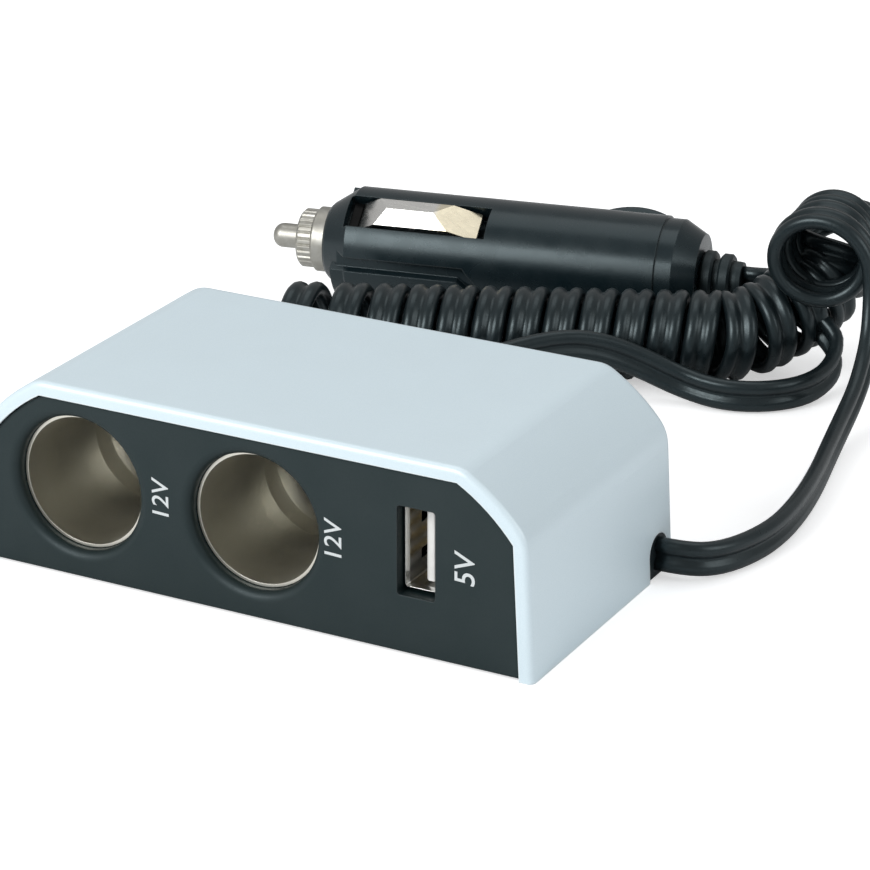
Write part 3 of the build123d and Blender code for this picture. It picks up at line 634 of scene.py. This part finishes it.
def sleeve_nickel():
    material, tree, shader = new_finish("sleeve_nickel", (0.87, 0.845, 0.75), 0.36, 1.0)
    rings = add_noise(tree, 0.5, stretch=(0.04, 1.0, 0.04), detail=2.0)
    vary(tree, rings, 0.32, 0.40, shader.inputs["Roughness"])
    stain = add_noise(tree, 7.0)
    tint(tree, stain, (0.84, 0.815, 0.715), (0.90, 0.875, 0.785), shader.inputs["Base Color"])
    emboss(tree, shader, rings, 0.001, edge=0.1)
    return material


def leaf_nickel():
    """Bright nickel, with painted shade on the leaf's foot down in its slot and a painted warm reflection on
    the tip.
    """
    material, tree, shader = new_finish("leaf_nickel", (0.92, 0.91, 0.87), 0.24, 1.0)
    marks = add_noise(tree, 0.8, stretch=(0.25, 1.0, 1.0))
    vary(tree, marks, 0.20, 0.30, shader.inputs["Roughness"])
    emboss(tree, shader, marks, 0.002, edge=0.1)
    reach = [vertex.co.dot(plug_axis) for vertex in nodes["side_contact_upper"].data.vertices]
    place = tree.nodes.new("ShaderNodeTexCoord")
    along = tree.nodes.new("ShaderNodeVectorMath")
    along.operation = "DOT_PRODUCT"
    along.inputs[1].default_value = plug_axis
    tree.links.new(place.outputs["Object"], along.inputs[0])
    ramp = tree.nodes.new("ShaderNodeValToRGB")
    # The near-black foot is painted shade in the slot, and the straw tip is a painted warm reflection.
    foot, tip = ramp.color_ramp.elements
    foot.position, foot.color = 0.075, (0.010, 0.010, 0.010, 1.0)
    tip.position, tip.color = 0.70, (0.94, 0.86, 0.66, 1.0)
    for position in (0.10, 0.66):
        ramp.color_ramp.elements.new(position).color = (0.92, 0.91, 0.88, 1.0)
    vary(tree, along.outputs["Value"], 0.0, 1.0, ramp.inputs["Fac"], start=min(reach), end=max(reach))
    tree.links.new(ramp.outputs["Color"], shader.inputs["Base Color"])
    return material


def satin_nickel():
    material, tree, shader = new_finish("satin_nickel", (0.43, 0.42, 0.38), 0.42, 1.0)
    turning = add_noise(tree, 0.3)
    vary(tree, turning, 0.38, 0.50, shader.inputs["Roughness"])
    tint(tree, add_noise(tree, 1.6), (0.38, 0.37, 0.33), (0.47, 0.465, 0.43), shader.inputs["Base Color"])
    emboss(tree, shader, turning, 0.003, edge=0.22)
    return material


# %% [markdown]
# ## Tin, brass, gold and steel
# The port's shell, the contacts of the sockets and the ground strip are tin plated, which is a more neutral
# white than nickel. The feed strip and the spring's seat are brass, the port's own contacts are gilt, and
# the screws and the spring are steel. Most of them are hidden, so an even tone with marks along one
# direction is enough.

# %% Tin plate, brass, gold and steel


def tin_plate():
    material, tree, shader = new_finish("tin_plate", (0.66, 0.66, 0.64), 0.22, 1.0)
    marks = add_noise(tree, 0.25, stretch=(1.0, 0.3, 1.0))
    vary(tree, marks, 0.17, 0.27, shader.inputs["Roughness"])
    emboss(tree, shader, marks, 0.001, edge=0.12)
    return material


def strip_brass():
    material, tree, shader = new_finish("strip_brass", (0.72, 0.52, 0.24), 0.32, 1.0)
    tarnish = add_noise(tree, 2.5)
    tint(tree, tarnish, (0.58, 0.40, 0.18), (0.76, 0.57, 0.28), shader.inputs["Base Color"])
    vary(tree, tarnish, 0.40, 0.26, shader.inputs["Roughness"])
    emboss(tree, shader, add_noise(tree, 0.4, stretch=(0.2, 1.0, 1.0)), 0.003, edge=0.08)
    return material


def contact_gold():
    material, tree, shader = new_finish("contact_gold", (0.94, 0.72, 0.32), 0.22, 1.0)
    wiping = add_noise(tree, 0.3, stretch=(1.0, 0.15, 1.0))
    vary(tree, wiping, 0.16, 0.32, shader.inputs["Roughness"])
    emboss(tree, shader, wiping, 0.002, edge=0.05)
    return material


def spring_steel():
    material, tree, shader = new_finish("spring_steel", (0.50, 0.50, 0.49), 0.34, 1.0)
    drawn = add_noise(tree, 0.5)
    vary(tree, drawn, 0.26, 0.44, shader.inputs["Roughness"])
    tint(tree, drawn, (0.44, 0.44, 0.43), (0.56, 0.56, 0.55), shader.inputs["Base Color"])
    emboss(tree, shader, drawn, 0.004, edge=0.08)
    return material


# %% [markdown]
# ## Port, board and fuse
# The port's tongue is white nylon. The board is green solder mask over glass fibre, whose weave shows as a
# faint grid. The inductor's core is dark ferrite with a sintered grain, the capacitors are drawn aluminium
# cans, and the chip is black epoxy. The fuse is a clear glass tube. Most of these are seen only when the
# box is opened, yet a part that others will take apart needs them as much as its outside.

# %% Nylon, solder mask, ferrite, aluminium, epoxy and glass


def white_nylon():
    material, tree, shader = new_finish("white_nylon", (0.80, 0.80, 0.78), 0.42)
    flow = add_noise(tree, 1.2)
    tint(tree, flow, (0.76, 0.76, 0.74), (0.83, 0.83, 0.81), shader.inputs["Base Color"])
    vary(tree, flow, 0.36, 0.50, shader.inputs["Roughness"])
    emboss(tree, shader, flow, 0.004, edge=0.08)
    return material


def solder_mask():
    material, tree, shader = new_finish("solder_mask", (0.010, 0.110, 0.045), 0.3)
    weave = tree.nodes.new("ShaderNodeTexWave")
    weave.inputs["Scale"].default_value = 900.0
    weave.inputs["Distortion"].default_value = 1.5
    place = tree.nodes.new("ShaderNodeTexCoord")
    tree.links.new(place.outputs["Object"], weave.inputs["Vector"])
    threads = weave.outputs["Fac"]
    tint(tree, threads, (0.008, 0.095, 0.038), (0.014, 0.130, 0.055), shader.inputs["Base Color"])
    vary(tree, add_noise(tree, 2.0), 0.24, 0.38, shader.inputs["Roughness"])
    emboss(tree, shader, threads, 0.004, edge=0.06)
    return material


def sintered_ferrite():
    material, tree, shader = new_finish("sintered_ferrite", (0.030, 0.030, 0.033), 0.6)
    grain = add_noise(tree, 0.18)
    tint(tree, grain, (0.022, 0.022, 0.025), (0.045, 0.045, 0.048), shader.inputs["Base Color"])
    vary(tree, grain, 0.50, 0.72, shader.inputs["Roughness"])
    emboss(tree, shader, grain, 0.02, edge=0.1)
    return material


def drawn_aluminium():
    material, tree, shader = new_finish("drawn_aluminium", (0.74, 0.75, 0.76), 0.3, 1.0)
    drawn = add_noise(tree, 0.4, stretch=(1.0, 1.0, 0.1))
    vary(tree, drawn, 0.22, 0.40, shader.inputs["Roughness"])
    emboss(tree, shader, drawn, 0.004, edge=0.1)
    return material


def chip_epoxy():
    material, tree, shader = new_finish("chip_epoxy", (0.016, 0.016, 0.018), 0.5)
    grain = add_noise(tree, 0.12)
    vary(tree, grain, 0.42, 0.60, shader.inputs["Roughness"])
    emboss(tree, shader, grain, 0.008, edge=0.06)
    return material


def fuse_tube_glass():
    material, tree, shader = new_finish("fuse_tube_glass", (0.96, 0.98, 0.97), 0.03)
    shader.inputs["Transmission Weight"].default_value = 1.0
    shader.inputs["IOR"].default_value = 1.5
    ripple = add_noise(tree, 3.0)
    vary(tree, ripple, 0.01, 0.06, shader.inputs["Roughness"])
    emboss(tree, shader, ripple, 0.01, edge=0.1)
    return material


# %% [markdown]
# ## Dressing the pieces
# Each piece of the CAD frame now takes its own finish. A list that reads like a parts list is easier to
# check than assignments scattered through the script, and a piece that was forgotten shows at once in the
# printed count.

# %% A finish for every piece
finishes = [
    (silver_paint(), ["housing_shell"]),
    (panel_plastic(), ["front_panel"]),
    (cover_plastic(), ["base_cover", "socket_cup_left", "socket_cup_right"]),
    (plug_plastic(), ["plug_barrel_upper", "plug_barrel_lower"]),
    (lead_pvc(), ["body_lead", "curly_coil", "plug_lead"]),
    (black_rubber(), ["cord_grommet", "plug_strain_relief"]),
    (sleeve_nickel(), ["socket_sleeve_left", "socket_sleeve_right"]),
    (leaf_nickel(), ["side_contact_upper", "side_contact_lower"]),
    (satin_nickel(), ["nose_cap", "tip_pin", "fuse_caps"]),
    (tin_plate(), ["usb_shell", "ground_strip", "centre_contact_left", "centre_contact_right"]),
    (strip_brass(), ["feed_strip", "spring_seat"]),
    (contact_gold(), ["usb_contacts"]),
    (spring_steel(), ["pin_spring", "housing_screws"]),
    (white_nylon(), ["usb_tongue"]),
    (solder_mask(), ["circuit_board"]),
    (sintered_ferrite(), ["power_inductor"]),
    (drawn_aluminium(), ["filter_capacitors"]),
    (chip_epoxy(), ["converter_chip"]),
    (fuse_tube_glass(), ["fuse_glass"]),
]
for material, names in finishes:
    for name in names:
        nodes[name].data.materials.clear()
        nodes[name].data.materials.append(material)
twin_lead.data.materials.append(bpy.data.materials["lead_pvc"])
spring_wire.data.materials.append(bpy.data.materials["spring_steel"])
dressed = {name for material, names in finishes for name in names}
print("finishes:", len(finishes), "pieces without one:", sorted(set(nodes) - dressed))

# %% [markdown]
# ## Marks on the panel
# Beside each outlet the panel has its voltage, printed in white and turned to read upwards. Blender's own
# text object is the quickest way to sound letter shapes: a little more weight makes them look like panel
# print, and a few hundredths of a millimetre of thickness make them lie on the plastic as ink does.

# %% Printed marks
panel_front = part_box("front_panel")[0].y
capital_share = 0.69
letter_slant = 0.04
letter_weight = 0.008
ink_thickness = 0.03


def panel_ink():
    material, tree, shader = new_finish("panel_ink", (0.62, 0.66, 0.67), 0.5)
    speckle = add_noise(tree, 0.15)
    tint(tree, speckle, (0.56, 0.60, 0.61), (0.67, 0.71, 0.72), shader.inputs["Base Color"])
    vary(tree, speckle, 0.44, 0.58, shader.inputs["Roughness"])
    return material


def add_mark(name, words, middle_x, middle_z, height, ink):
    """Words on the panel that read upwards: their middle and the height of their capitals in millimetres."""
    data = bpy.data.curves.new(name, "FONT")
    data.body = words
    data.size = height / capital_share * millimetre
    data.shear = letter_slant
    data.offset = letter_weight * height * millimetre
    data.extrude = ink_thickness / 2.0 * millimetre
    data.align_x = "CENTER"
    data.align_y = "CENTER"
    mark = bpy.data.objects.new(name, data)
    mark.location = (middle_x * millimetre, panel_front - data.extrude, middle_z * millimetre)
    mark.rotation_euler = (math.pi / 2.0, -math.pi / 2.0, 0.0)
    bpy.context.scene.collection.objects.link(mark)
    data.materials.append(ink)
    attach(mark, "splitter_box")
    return mark


ink = panel_ink()
marks = [
    add_mark("left_voltage_mark", "12V", -14.9, 16.4, 2.9, ink),
    add_mark("right_voltage_mark", "12V", 15.4, 16.0, 2.9, ink),
    add_mark("port_voltage_mark", "5V", 37.6, 16.0, 3.3, ink),
]
print("marks on the panel:", [mark.name for mark in marks], "at y in mm", round(panel_front / millimetre, 2))
